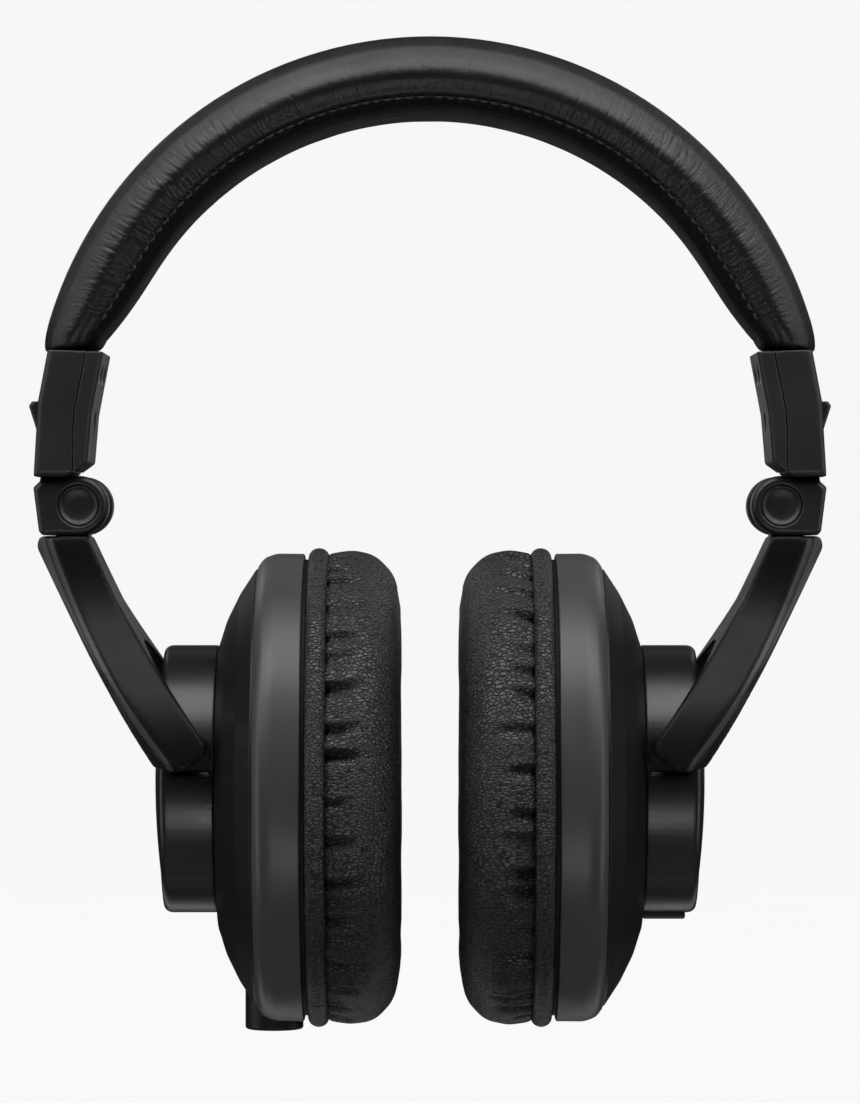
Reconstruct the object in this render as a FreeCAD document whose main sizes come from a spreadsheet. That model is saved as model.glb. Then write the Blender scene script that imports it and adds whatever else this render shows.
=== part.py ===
"""Over-ear folding headphones, millimetres.

Frame: origin under the headband at its crown, +X to the wearer's right when seen from behind, +Z up.
The right side is modelled; the left side is its mirror image in the YZ plane.
"""
import FreeCAD, Part
import math
import os
import re
import Sketcher
from FreeCAD import Placement, Rotation, Vector

doc = FreeCAD.newDocument("headphones")

# ---------------------------------------------------------------- driving dimensions
DIMENSIONS = {
    # headband pad: two arcs that share the plane of symmetry
    "band_top": 14.8, "band_outer_rad": 79.0, "band_inner_rad": 66.0,
    "band_end_x": 76.43, "band_end_z": -47.2, "band_knee_x": 52.4, "band_knee_z": -25.9,
    "band_half": 17.0, "band_end_half": 13.5, "band_edge": 4.5,
    # spring band inside the pad
    "spring_rad": 70.8, "spring_top": 7.0, "spring_thick": 1.0, "spring_wide": 16.0,
    "spring_end_x": 70.6, "spring_end_z": -57.0,
    # sleeve covers
    "sleeve_top": -48.0, "sleeve_bottom": -72.7, "sleeve_half": 12.8, "sleeve_edge": 1.4,
    # slider strip, measured along its own lean
    "slider_x": 73.0, "slider_z": -61.0, "slider_lean": 5.03, "slider_thick": 1.2,
    "slider_wide": 16.0, "slider_up": 25.0, "slider_down": 19.5, "slide_gap": 0.08,
    "click_count": 9, "click_pitch": 2.5, "click_rad": 0.6,
    # fold hinge
    "pin_x": 69.6, "pin_z": -78.4, "pin_rad": 2.0, "hinge_nose": 5.9, "hinge_half": 10.5,
    "hinge_back": 78.4, "tongue_half": 3.9, "tongue_deep": 5.7, "ear_gap": 0.2,
    "cap_rad": 3.86, "cap_gap": 0.25, "slot_rad": 6.6, "slot_long": 11.35,
    # yoke
    "yoke_top": -84.4, "yoke_bottom": -130.9, "yoke_half": 31.5, "arch_rad": 27.5, "run_gap": 0.05,
    "strip_step": 1.1, "web_step": 2.4,
    # cup tilt pivot and drum
    "tilt_x": 46.5, "tilt_z": -127.4, "tilt_rad": 1.0, "tilt_pin": 7.0, "tilt_wall": 2.0,
    "drum_z": -132.9, "drum_rad": 26.7, "drum_in": 42.0, "drum_out": 53.0, "drum_rim": 1.3,
    # cup, all on one axis
    "cup_z": -134.6, "pad_face": 5.8, "pad_back": 24.2, "pad_rad": 47.3, "piping_rad": 47.8,
    "ear_rad": 26.0, "baffle_rad": 45.5, "ring_in": 25.0, "ring_out": 34.2, "ring_rad": 46.7,
    "ring_wall": 42.5, "driver_rad": 20.0,
    # the four screws behind each baffle
    "screw_circle": 37.0, "screw_rad": 1.2, "screw_long": 6.8, "screw_head": 2.3,
    # cable socket, left cup only
    "socket_x": 31.1, "socket_rad": 5.8, "socket_end": -182.9, "plug_rad": 1.8, "plug_depth": 14.5,
}
sheet = doc.addObject("Spreadsheet::Sheet", "dims")
for row, (alias, value) in enumerate(DIMENSIONS.items(), start=1):
    sheet.set(f"A{row}", alias)
    sheet.set(f"B{row}", str(value))
    sheet.setAlias(f"B{row}", alias)
doc.recompute()
dim = {alias: float(sheet.get(alias)) for alias in DIMENSIONS}
WORD = re.compile(r"[a-z]+(?:_[a-z]+)+")


def bound(text):
    """The text with every sheet alias written as a reference to its cell."""
    return WORD.sub(lambda m: "dims." + m.group() if m.group() in dim else m.group(), str(text))


def worth(text):
    """The number that an expression in sheet aliases comes to."""
    plain = WORD.sub(lambda m: repr(dim[m.group()]) if m.group() in dim else m.group(), str(text))
    return float(FreeCAD.Units.parseQuantity(plain).Value)


def bind(thing, **sizes):
    """Bind properties of an object to expressions; px, py, pz stand for its position."""
    for name, text in sizes.items():
        path = {"px": "Placement.Base.x", "py": "Placement.Base.y", "pz": "Placement.Base.z",
                "turn": "Placement.Rotation.Angle"}.get(name, name)
        thing.setExpression(path, bound(text))
    return thing


# ---------------------------------------------------------------- building blocks
FACING = {"x": Rotation(Vector(0, 1, 0), 90), "y": Rotation(Vector(1, 0, 0), -90), "z": Rotation()}


def new(kind, name):
    thing = doc.addObject(kind, name)
    thing.Label = name
    return thing


def box(name, length, width, height, px=0, py=0, pz=0, lean=None):
    """A box whose corner is at px, py, pz, or leaning about Y when lean is given."""
    thing = new("Part::Box", name)
    if lean is not None:
        thing.Placement = Placement(Vector(), Rotation(Vector(0, 1, 0), worth(lean)))
        bind(thing, turn=lean)
    return bind(thing, Length=length, Width=width, Height=height, px=px, py=py, pz=pz)


def cylinder(name, radius, height, along="z", px=0, py=0, pz=0):
    thing = new("Part::Cylinder", name)
    thing.Placement = Placement(Vector(), FACING[along])
    return bind(thing, Radius=radius, Height=height, px=px, py=py, pz=pz)


def cone(name, radius, top, height, along="z", px=0, py=0, pz=0):
    thing = new("Part::Cone", name)
    thing.Placement = Placement(Vector(), FACING[along])
    return bind(thing, Radius1=radius, Radius2=top, Height=height, px=px, py=py, pz=pz)


def cut(name, base, *tools):
    tool = tools[0] if len(tools) == 1 else fuse(name + "_tools", *tools)
    thing = new("Part::Cut", name)
    thing.Base = base
    thing.Tool = tool
    return thing


def fuse(name, *shapes):
    thing = new("Part::MultiFuse", name)
    thing.Shapes = list(shapes)
    thing.Refine = True
    return thing


def common(name, *shapes):
    thing = new("Part::MultiCommon", name)
    thing.Shapes = list(shapes)
    return thing


def group(name, *shapes):
    """Identical loose pieces, such as the screws of one joint, held in one object."""
    thing = new("Part::Compound", name)
    thing.Links = list(shapes)
    return thing


def mirror(name, source, normal=(1, 0, 0)):
    thing = new("Part::Mirroring", name)
    thing.Source = source
    thing.Normal = Vector(*normal)
    return thing


def rounded(name, base, radius, wanted, kind="Part::Fillet"):
    """Fillet or chamfer the edges of base whose middle point and edge pass the test."""
    doc.recompute()
    edges = []
    for number, edge in enumerate(base.Shape.Edges, start=1):
        middle = edge.valueAt((edge.FirstParameter + edge.LastParameter) / 2)
        if wanted(middle, edge):
            edges.append((number, radius, radius))
    thing = new(kind, name)
    thing.Base = base
    thing.Edges = edges
    return thing


def draw(sketch, corners):
    """Fill a sketch with a closed outline.

    Each corner is (u, v) or (u, v, radius); with a radius, the stretch from that corner to the
    next is an arc of that radius, anticlockwise when the radius is positive.
    """
    places = [Vector(worth(c[0]), worth(c[1]), 0) for c in corners]
    begins = []
    for i, corner in enumerate(corners):
        here, there = places[i], places[(i + 1) % len(corners)]
        if len(corner) == 3:
            curve = arc(here, there, worth(corner[2]))
            begins.append(1 if worth(corner[2]) > 0 else 2)
        else:
            curve = Part.LineSegment(here, there)
            begins.append(1)
        sketch.addGeometry(curve, False)
    for i, corner in enumerate(corners):
        for kind, text, value in (("DistanceX", corner[0], places[i].x),
                                  ("DistanceY", corner[1], places[i].y)):
            number = sketch.addConstraint(Sketcher.Constraint(kind, -1, 1, i, begins[i], value))
            sketch.setExpression(f"Constraints[{number}]", bound(text))
        before = (i - 1) % len(corners)
        sketch.addConstraint(
            Sketcher.Constraint("Coincident", before, 3 - begins[before], i, begins[i]))
        if len(corner) == 3:
            number = sketch.addConstraint(Sketcher.Constraint("Radius", i, abs(worth(corner[2]))))
            sketch.setExpression(f"Constraints[{number}]", bound(f"abs({corner[2]})"))


def arc(here, there, radius):
    """The shorter arc from here to there, anticlockwise when its radius is positive."""
    chord = there - here
    rise = math.sqrt(radius ** 2 - (chord.Length / 2) ** 2) * math.copysign(1, radius)
    centre = (here + there) / 2 + Vector(-chord.y, chord.x, 0).normalize() * rise
    circle = Part.Circle(centre, Vector(0, 0, 1), abs(radius))
    ends = [math.atan2(p.y - centre.y, p.x - centre.x) for p in (here, there)]
    return Part.ArcOfCircle(circle, *(ends if radius > 0 else ends[::-1]))


def profile(name, corners, half, plane="xz"):
    """An outline in the XZ or YZ plane, pulled out evenly to both sides of that plane."""
    sketch = new("Sketcher::SketchObject", name + "_outline")
    upright = Rotation(Vector(1, 0, 0), 90)
    sketch.Placement = Placement(Vector(), upright if plane == "xz"
                                 else Rotation(Vector(0, 0, 1), 90) * upright)
    draw(sketch, corners)
    thing = new("Part::Extrusion", name)
    thing.Base = sketch
    thing.DirMode = "Normal"
    thing.Symmetric = True
    thing.Solid = True
    return bind(thing, LengthFwd=f"2 * ({half})")


def turned(name, corners, centre="cup_z"):
    """A body turned about an X axis at the height centre: corners are (x, radius)."""
    body = new("PartDesign::Body", name)
    plane = next(f for f in body.Origin.OriginFeatures if f.Role == "XZ_Plane")
    sketch = body.newObject("Sketcher::SketchObject", name + "_section")
    sketch.AttachmentSupport = [(plane, "")]
    sketch.MapMode = "FlatFace"
    draw(sketch, corners)
    turn = body.newObject("PartDesign::Revolution", name + "_turn")
    turn.Profile = sketch
    turn.ReferenceAxis = (sketch, ["H_Axis"])
    turn.Angle = 360
    return bind(body, pz=centre)


# ---------------------------------------------------------------- headband
def headband():
    """The padded band and the spring strip inside it; both cross the whole head."""
    outer_low = "band_top - 2 * band_outer_rad"
    solid = profile("band_front_view", [
        ("-band_end_x", "band_end_z + 3", "-band_outer_rad"),
        ("band_end_x", "band_end_z + 3"),
        ("band_end_x - 0.6", "band_end_z"),
        ("band_end_x - 11.1", "band_end_z + 0.7"),
        ("band_knee_x", "band_knee_z", "band_inner_rad"),
        ("-band_knee_x", "band_knee_z"),
        ("11.1 - band_end_x", "band_end_z + 0.7"),
        ("0.6 - band_end_x", "band_end_z"),
    ], "band_half")
    side = profile("band_side_view", [
        ("-band_half", "band_top + 5"), ("-band_half", 0), ("-band_end_half", "band_end_z - 2"),
        ("band_end_half", "band_end_z - 2"), ("band_half", 0), ("band_half", "band_top + 5"),
    ], "band_end_x + 4", plane="yz")
    soft = rounded("band_soft", solid, dim["band_edge"],
                   lambda p, e: abs(p.y) > 11 and e.Length > 60)
    blank = common("band_blank", soft, side)
    slot = spring_strip("band_slot", 0.15)
    pockets = both_sides("band_pocket", lambda n: slider_blank(n, 0.5, 2.0))
    cut("headband_pad", blank, slot, *pockets)
    cut("spring_band", spring_strip("spring_blank", 0),
        *both_sides("spring_hole", lambda n: group(n, *[
            cylinder(f"{n}{k}", "1.1", 8, "x", 66, y, -52.5) for k, y in enumerate((-4.5, 4.5))])))


def spring_strip(name, gap):
    """The spring strip, or with a gap the slot that it lies in."""
    half = f"spring_thick / 2 + {gap}"
    end = math.hypot(1.6, 9)
    across = (9 / end, 1.6 / end)

    def tip(side, out):
        return (f"{side} * (spring_end_x + {out} * {across[0]:.4f} * ({half}))",
                f"spring_end_z + {out} * {across[1]:.4f} * ({half}) - {gap}")

    def knee(side, out):
        return (f"{side} * (spring_end_x - 1.6 + {out} * ({half}))", "spring_end_z + 9")

    left_out = knee(-1, 1)
    right_in = knee(1, -1)
    return profile(name, [
        (*left_out, f"-(spring_rad + {half})"), knee(1, 1), tip(1, 1), tip(1, -1),
        (*right_in, f"spring_rad - ({half})"), knee(-1, -1), tip(-1, -1), tip(-1, 1),
    ], f"spring_wide / 2 + {gap}")


def both_sides(name, make):
    right = make(name + "_right")
    return [right, mirror(name + "_left", right)]


# ---------------------------------------------------------------- arm: sleeve and slider
def slider_blank(name, gap, above=0.0):
    """The slider strip as a leaning box, or with a gap the channel that it runs in."""
    lean = math.radians(dim["slider_lean"])
    down, side = math.cos(lean), math.sin(lean)
    depth = f"(slider_down + {gap})"
    reach = f"(slider_thick / 2 + {gap})"
    return box(name, f"slider_thick + 2 * {gap}", f"slider_wide + 2 * {gap}",
               f"slider_up + slider_down + {2 * gap + above}",
               f"slider_x + {depth} * {side:.5f} - {reach} * {down:.5f}",
               f"-slider_wide / 2 - {gap}",
               f"slider_z - {depth} * {down:.5f} - {reach} * {side:.5f}",
               lean="-slider_lean")


def sleeve():
    """Two covers clamped on the end of the spring strip; the outer one guides the slider."""
    seam = [("67.95", "sleeve_top + 0.1"), ("69.5", "-55.6"), ("70.3", "-59.8"),
            ("70.6", "-64.3"), ("70.6", "sleeve_bottom + 0.9")]
    outer = profile("sleeve_outer_blank", [
        ("75.6", "sleeve_top + 0.4"), *[(f"{x} + 0.05", z) for x, z in seam],
        ("71.7", "sleeve_bottom"), ("78.4", "sleeve_bottom"), ("77.55", "-57.9"),
    ], "sleeve_half")
    outer = rounded("sleeve_outer_soft", outer, dim["sleeve_edge"],
                    lambda p, e: p.x > 75 and abs(p.y) > 12 and e.Length > 5)
    channel = slider_blank("sleeve_channel", dim["slide_gap"], 20.0)
    tongue = spring_strip("sleeve_tongue_slot", 0.05)
    boss = cylinder("sleeve_screw_hole", 0.9, 6, "x", "66", 0, -61.6)
    spring = box("detent_pocket", 1.5, 6.2, 8.2, 74.45, -3.1, -60.6, lean="-slider_lean")
    rivet_pit = [cylinder(f"rivet_pit_{i}", 1.7, 3, "x", 67.2, y, -52.5)
                 for i, y in enumerate((-4.5, 4.5))]
    cut("sleeve_outer_right", outer, channel, tongue, boss, spring, *rivet_pit)
    inner = profile("sleeve_inner_blank", [
        ("64.6", "sleeve_top + 0.05"), ("66.9", "-60.1"), ("67.7", "-69.8"),
        ("70.55", "sleeve_bottom + 0.9"), *[(f"{x} - 0.05", z) for x, z in seam[-2::-1]],
    ], "sleeve_half")
    inner = rounded("sleeve_inner_soft", inner, dim["sleeve_edge"],
                    lambda p, e: p.x < 68 and abs(p.y) > 12 and e.Length > 5)
    cut("sleeve_inner_right", inner, cylinder("screw_way", 1.05, 6, "x", 66, 0, -61.6),
        cylinder("screw_recess", 2.0, 2.6, "x", 65.6, 0, -61.6),
        *[cylinder(f"rivet_way_{i}", 1.05, 5, "x", 65, y, -52.5) for i, y in enumerate((-4.5, 4.5))],
        *[cylinder(f"rivet_seat_{i}", 1.9, 1.5, "x", 65, y, -52.5)
          for i, y in enumerate((-4.5, 4.5))])
    fuse("sleeve_screw_right", cylinder("screw_head", 1.9, 0.9, "x", 67.3, 0, -61.6),
         cylinder("screw_shank", 0.85, 3.6, "x", 68.2, 0, -61.6))
    group("band_rivets_right", *[
        fuse(f"rivet_{i}", cylinder(f"rivet_head_{i}", 1.8, 0.7, "x", 65.8, y, -52.5),
             cylinder(f"rivet_shank_{i}", 1.0, 3.7, "x", 66.4, y, -52.5))
        for i, y in enumerate((-4.5, 4.5))])
    mark = profile("side_marker_blank", [
        ("76.9", "-57.6"), ("79.3", "-57.6"), ("79.9", "-58.5"), ("79.3", "-60.4"),
        ("78.05", "-64.3"), ("77.2", "-64.3"),
    ], 5)
    mark = rounded("side_marker_soft", mark, 0.8, lambda p, e: abs(p.y) > 4.5 and p.x > 78.6)
    cut("side_marker_right", mark, outer)
    box("detent_spring_right", 1.2, 6, 8, 74.5, -3, -60.5, lean="-slider_lean")


def slider():
    """Steel strip with click notches down both edges, fixed in the hinge block."""
    blank = slider_blank("slider_blank", 0)
    lean = math.radians(dim["slider_lean"])
    notches = []
    for step in range(int(dim["click_count"])):
        along = dim["slider_up"] - 3 - dim["click_pitch"] * step
        x = dim["slider_x"] - along * math.sin(lean)
        z = dim["slider_z"] + along * math.cos(lean)
        for side in (-1, 1):
            notches.append(cylinder(f"notch_{step}_{'ab'[side > 0]}", "click_rad", 4, "x",
                                    x - 2, side * (dim["slider_wide"] / 2 + 0.15), z))
    cut("slider_strip_right", blank, *notches)


# ---------------------------------------------------------------- fold hinge
def hinge():
    body = profile("hinge_blank", [
        ("pin_x", "pin_z - hinge_nose"), ("hinge_back - 1.6", "pin_z - hinge_nose"),
        ("hinge_back - 0.9", "pin_z - hinge_nose + 0.8"), ("hinge_back + 0.2", "pin_z + 3.6"),
        ("hinge_back - 1.4", "pin_z + hinge_nose - 0.8"), ("pin_x", "pin_z + hinge_nose - 0.8"),
        ("pin_x - 2.5", "pin_z + 5.3"), ("pin_x - 2.5", "pin_z - 5.3"),
    ], "hinge_half")
    nose = cylinder("hinge_nose_round", "hinge_nose", "2 * hinge_half", "y",
                    "pin_x", "-hinge_half", "pin_z")
    neck = box("hinge_neck", 6.6, 18, 3, 70.7, -9, "sleeve_bottom - 3.05")
    block = fuse("hinge_solid", body, nose, neck)
    block = rounded("hinge_soft", block, 0.8,
                    lambda p, e: abs(abs(p.y) - dim["hinge_half"]) < 0.01, "Part::Chamfer")
    wide, front = "2 * (tongue_half + ear_gap)", "-tongue_half - ear_gap"
    slot = common("hinge_slot_round",
                  cylinder("hinge_slot_swing", "slot_rad", wide, "y", "pin_x", front, "pin_z"),
                  box("hinge_slot_limit", "slot_long", wide, 14, "pin_x - 7", front, "pin_z - 7"))
    low = box("hinge_slot_low", "slot_long", wide, 7, "pin_x - 7", front, "pin_z - 7")
    bore = cylinder("hinge_pin_hole", "pin_rad", "2 * hinge_half", "y", "pin_x", "-hinge_half", "pin_z")
    seats = [cylinder(f"cap_seat_{i}", "cap_rad + cap_gap", 1.25, "y", "pin_x", y, "pin_z")
             for i, y in enumerate(("-hinge_half - 0.05", "hinge_half - 1.2"))]
    strip = slider_blank("hinge_strip_pocket", 0.0, 0.0)
    cut("hinge_block_right", block, slot, low, bore, *seats, strip)
    cylinder("hinge_pin_right", "pin_rad", "2 * hinge_half - 2.4", "y",
             "pin_x", "1.2 - hinge_half", "pin_z")
    caps = []
    for i, (seat, dish) in enumerate((("-hinge_half + 0.3", "-hinge_half + 0.25"),
                                      ("hinge_half - 1.2", "hinge_half - 0.6"))):
        disc = cylinder(f"cap_disc_{i}", "cap_rad", 0.9, "y", "pin_x", seat, "pin_z")
        tip, root = ((3.2, 2.4), (2.4, 3.2))[i]
        hollow = cone(f"cap_dish_{i}", tip, root, 0.35, "y", "pin_x", dish, "pin_z")
        caps.append(cut(f"cap_{i}", disc, hollow))
    group("hinge_caps_right", *caps)


# ---------------------------------------------------------------- yoke
def yoke():
    """A fork: a neck under the hinge that opens into two arms round the drum."""
    inner_edge = [("43.3", "-126.8"), ("43.7", "-124.8", "400"), ("62.0", "-97.0"),
                  ("66.6", "-87.2"), ("67.9", "yoke_top")]
    outlines = {
        # the raised face of the arms, the strip along its outer edge, and the web beyond that
        "face": [("75.0", "yoke_top", "-140"), ("48.6", "-130.5"), *inner_edge],
        "strip": [("77.6", "yoke_top"), ("78.0", "-86.6", "-300"), ("65.8", "-109.2"),
                  ("50.3", "-130.4"), ("48.6", "-130.5"), *inner_edge],
        "web": [("77.6", "yoke_top"), ("78.0", "-86.6", "-300"), ("53.7", "-129.7"),
                ("50.3", "-130.4"), ("48.6", "-130.5"), *inner_edge],
    }
    steps = {"face": "0", "strip": "strip_step", "web": "web_step"}
    layers = [common(f"yoke_{name}",
                     profile(f"yoke_{name}_front", outlines[name], "yoke_half + 1"),
                     profile(f"yoke_{name}_side", fork_outline(f"(hinge_half - {step})",
                                                               f"(yoke_half - {step})"),
                             84, plane="yz"))
              for name, step in steps.items()]
    arch = cylinder("yoke_arch", "arch_rad", 60, "x", 40, 0, "drum_z")
    low = box("yoke_arch_low", 60, "2 * arch_rad", 20, 40, "-arch_rad", "drum_z - 20")
    blank = cut("yoke_blank", fuse("yoke_layers", *layers), arch, low)
    eye = cylinder("tongue_eye", 4.2, "2 * tongue_half", "y", "pin_x", "-tongue_half", "pin_z")
    stem = box("tongue_stem", "tongue_deep", "2 * tongue_half", 9,
               "pin_x + 4 - tongue_deep", "-tongue_half", "pin_z - 9")
    bore = cylinder("tongue_bore", "pin_rad + run_gap", 20, "y", "pin_x", -10, "pin_z")
    seats = cylinder("pivot_seats", "tilt_rad", "2 * (yoke_half - tilt_wall)", "y",
                     "tilt_x", "tilt_wall - yoke_half", "tilt_z")
    cut("yoke_right", fuse("yoke_body", blank, eye, stem), bore, seats)
    group("pivot_pins_right", *[
        cylinder(f"pivot_pin_{i}", "tilt_rad", "tilt_pin", "y", "tilt_x", y, "tilt_z")
        for i, y in enumerate(("tilt_wall - yoke_half", "yoke_half - tilt_wall - tilt_pin"))])


def fork_outline(neck, arm):
    """The fork seen along X: neck, flare, shoulder round the drum and arm end, then back up."""
    down = [(neck, "yoke_top"), (f"{neck} + 0.4", "yoke_top - 3", "26"),
            (f"{neck} + 6.4", "yoke_top - 19.5"),
            (f"{arm} * 0.766", f"drum_z + {arm} * 0.6428", f"-{arm}"),
            (f"{arm} - 0.2", "yoke_bottom + 1.5"), (f"{arm} - 0.9", "yoke_bottom")]
    bends = [corner[2:] for corner in down]
    up = [(f"-({y})", z, *bend) for (y, z, *_), bend in zip(down[::-1], [*bends[-2::-1], ()])]
    return down + up


# ---------------------------------------------------------------- cup
def cup():
    turned("ear_pad_right", [
        ("pad_face", "ear_rad + 5"), ("pad_face + 1.7", "ear_rad + 0.5"), ("pad_back", "ear_rad + 2"),
        ("pad_back", "ear_rad + 3"), ("pad_back - 1.5", "ear_rad + 3"), ("pad_back - 1.5", 44.2),
        ("pad_back", 44.2), ("pad_back", "piping_rad - 0.6"), ("pad_back - 0.6", "piping_rad"),
        ("pad_back - 3.8", "piping_rad"), ("pad_back - 4.4", "pad_rad"),
        ("pad_face + 8", "pad_rad", 9.5), ("pad_face", "pad_rad - 8.5")])
    clip = turned("pad_ring_blank", [
        ("pad_back - 1.4", "ear_rad + 3.1"), ("pad_back - 1.4", 44.1), ("pad_back", 44.1),
        ("pad_back", "ear_rad + 3.1")])
    turned("dust_cloth_right", [
        ("pad_back - 0.6", 0), ("pad_back - 0.6", "ear_rad + 1.5"), ("pad_back - 0.05", "ear_rad + 1.5"),
        ("pad_back - 0.05", 0)])
    plate = turned("baffle_blank", [
        ("pad_back", "driver_rad + 0.1"), ("pad_back", "baffle_rad"), ("ring_in", "baffle_rad"),
        ("ring_in", "ring_wall + 1.1"), ("ring_in + 0.2", "ring_wall + 1.1"),
        ("ring_in + 0.2", "driver_rad + 2.8"), ("ring_in + 3.6", "driver_rad + 2.8"),
        ("ring_in + 3.6", "driver_rad + 0.1")])
    spots = [(math.cos(math.radians(a)), math.sin(math.radians(a))) for a in (45, 135, 225, 315)]

    def around(name, radius, length, start):
        return [cylinder(f"{name}_{i}", radius, length, "x", start,
                         f"screw_circle * {y:.5f}", f"cup_z + screw_circle * {z:.5f}")
                for i, (y, z) in enumerate(spots)]

    cut("baffle_right", plate, *around("baffle_hole", 1.3, 3, 23.5))
    cut("pad_ring_right", clip, *around("pad_ring_hole", 2.5, 3, 22))
    heads = around("baffle_screw_head", "screw_head", 0.9, "pad_back - 0.9")
    shanks = around("baffle_screw_shank", "screw_rad", "screw_long", "pad_back")
    group("baffle_screws_right", *[fuse(f"baffle_screw_{i}", *pair)
                                   for i, pair in enumerate(zip(heads, shanks))])
    turned("cup_ring_right", [
        ("ring_in", "ring_wall + 1.2"), ("ring_in", "ring_rad - 0.4"), ("ring_in + 0.4", "ring_rad"),
        ("ring_out - 3", "ring_rad - 0.1", -2.8), ("ring_out - 0.1", "ring_rad - 2.4"),
        ("ring_out", "ring_wall + 0.1"), ("ring_in + 2.6", "ring_wall + 0.1"),
        ("ring_in + 2.6", "ring_wall + 1.2")])
    dome = turned("dome_blank", [
        ("ring_out - 3", "ring_wall"), ("ring_out + 0.05", "ring_wall"), ("ring_out + 0.05", 43.9),
        ("34.8", 43.6), ("37.8", 38.7), ("40.4", 33.5), ("41.5", 30.0), ("drum_in", 28.6),
        ("drum_in", 6), ("drum_in - 2", 6), ("drum_in - 2", 28), ("38.6", 32.8),
        ("36.1", 37.5), ("33.2", 41.2), ("ring_out - 3", 41.2)])
    posts = [common("dome_post_" + str(i), post, turned(f"dome_inside_{i}", [
        ("ring_in + 3", 0), ("ring_in + 3", 41.8), ("33.4", 41.8), ("36.4", 38.0), ("38.9", 33.2),
        ("drum_in - 1", 28.2), ("drum_in - 1", 0)]))
        for i, post in enumerate(around("dome_post_blank", 3, 20, 25.3))]
    cut("back_shell_right", fuse("dome_with_posts", dome, *posts),
        *around("post_hole", "screw_rad", "screw_long", "pad_back"))
    housing = turned("drum_blank", [
        ("drum_in + 0.02", 8), ("drum_in + 0.02", "drum_rad"), ("drum_out - 1.8", "drum_rad", -1.8),
        ("drum_out", "drum_rad - 1.2"), ("drum_out", "drum_rad - drum_rim + 0.05"),
        ("drum_out - 2.4", "drum_rad - drum_rim + 0.05"), ("drum_out - 2.4", "drum_rad - 3"),
        ("drum_in + 2", "drum_rad - 3"), ("drum_in + 2", 8)], "drum_z")
    bosses = [common(f"pivot_boss_{i}",
                     box(f"pivot_boss_blank_{i}", 7.6, 8, 9.4, 42.7, y, "tilt_z - 4.7"),
                     cylinder(f"pivot_boss_limit_{i}", "drum_rad - 1", 9, "x", 42.5, 0, "drum_z"))
              for i, y in enumerate((-25.5, 17.5))]
    pivot = cylinder("drum_pivot_hole", "tilt_rad + run_gap", 60, "y", "tilt_x", -30, "tilt_z")
    notches = [box(f"drum_notch_{i}", 7.8, 4, 7, 42.6, y, "tilt_z - 3.5")
               for i, y in enumerate((-29.4, 25.4))]
    cut("drum_housing_right", fuse("drum_with_bosses", housing, *bosses), pivot, *notches)
    turned("drum_cap_right", [
        ("drum_out - 2.35", 0), ("drum_out - 2.35", "drum_rad - drum_rim"),
        ("drum_out - 0.5", "drum_rad - drum_rim"),
        ("drum_out - 0.4", "drum_rad - drum_rim - 0.1", -154), ("drum_out + 1.7", 0)], "drum_z")
    turned("driver_frame_right", [
        ("pad_back", 15), ("pad_back", "driver_rad"), ("pad_back + 6.5", "driver_rad"),
        ("pad_back + 9.5", 12), ("pad_back + 9.5", 9.6), ("pad_back + 8", 9.6), ("pad_back + 5.2", 18),
        ("pad_back + 1.5", 18), ("pad_back + 1.5", 15)])
    turned("driver_magnet_right", [
        ("pad_back + 6.2", 0), ("pad_back + 6.2", 9.5), ("pad_back + 11", 9.5), ("pad_back + 11", 0)])
    turned("driver_dome_right", [
        ("pad_back + 1.6", 17.8), ("pad_back + 2.0", 17.8), ("pad_back + 2.2", 9),
        ("pad_back + 1.0", 0), ("pad_back + 0.6", 0), ("pad_back + 1.8", 9)])


# ---------------------------------------------------------------- what only one cup has
def cable_socket():
    """The left cup's cable socket: a stub that stands down out of the cup, with a metal barrel."""
    body = cylinder("socket_blank", "socket_rad", "-166.5 - socket_end", "z",
                    "-socket_x", 0, "socket_end")
    soft = rounded("socket_soft", body, 0.6, lambda p, e: p.z < dim["socket_end"] + 0.1)
    hole = cylinder("socket_hole", 2.6, "plug_depth", "z", "-socket_x", 0, "socket_end")
    cut("cable_socket", soft, hole)
    barrel = cylinder("barrel_blank", 2.6, "plug_depth - 0.2", "z", "-socket_x", 0, "socket_end + 0.2")
    cut("socket_barrel", barrel,
        cylinder("plug_hole", "plug_rad", "plug_depth", "z", "-socket_x", 0, "socket_end"))


def port_lip():
    """A small lip under the right drum."""
    lip = box("lip_blank", 8.5, 8, 2.2, 42.3, -4, "drum_z - drum_rad - 1.1")
    underside = dim["drum_z"] - dim["drum_rad"] - 1
    cut("port_lip", rounded("lip_soft", lip, 0.5, lambda p, e: p.z < underside),
        cylinder("lip_seat", "drum_rad", 14, "x", 40, 0, "drum_z"))


SIDED = ("sleeve_outer", "sleeve_inner", "sleeve_screw", "band_rivets", "side_marker",
         "detent_spring", "slider_strip", "hinge_block", "hinge_pin", "hinge_caps", "yoke",
         "pivot_pins", "drum_housing", "drum_cap", "back_shell", "cup_ring", "baffle",
         "baffle_screws", "driver_frame", "driver_magnet", "driver_dome", "dust_cloth",
         "pad_ring", "ear_pad")
SINGLE = ("headband_pad", "spring_band", "cable_socket", "socket_barrel", "port_lip")


def labelled(label):
    return doc.getObjectsByLabel(label)[0]


def left_side():
    """Mirror every right piece; the left cup's shells are opened for the cable socket."""
    for part in SIDED:
        source = labelled(part + "_right")
        if part in ("back_shell", "cup_ring"):
            blank = mirror(part + "_mirrored", source)
            way = cylinder(part + "_socket_way", "socket_rad", 26, "z", "-socket_x", 0, "socket_end - 2")
            cut(part + "_left", blank, way)
        else:
            mirror(part + "_left", source)


headband()
sleeve()
slider()
hinge()
yoke()
cup()
cable_socket()
port_lip()
left_side()
doc.recompute()

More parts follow.
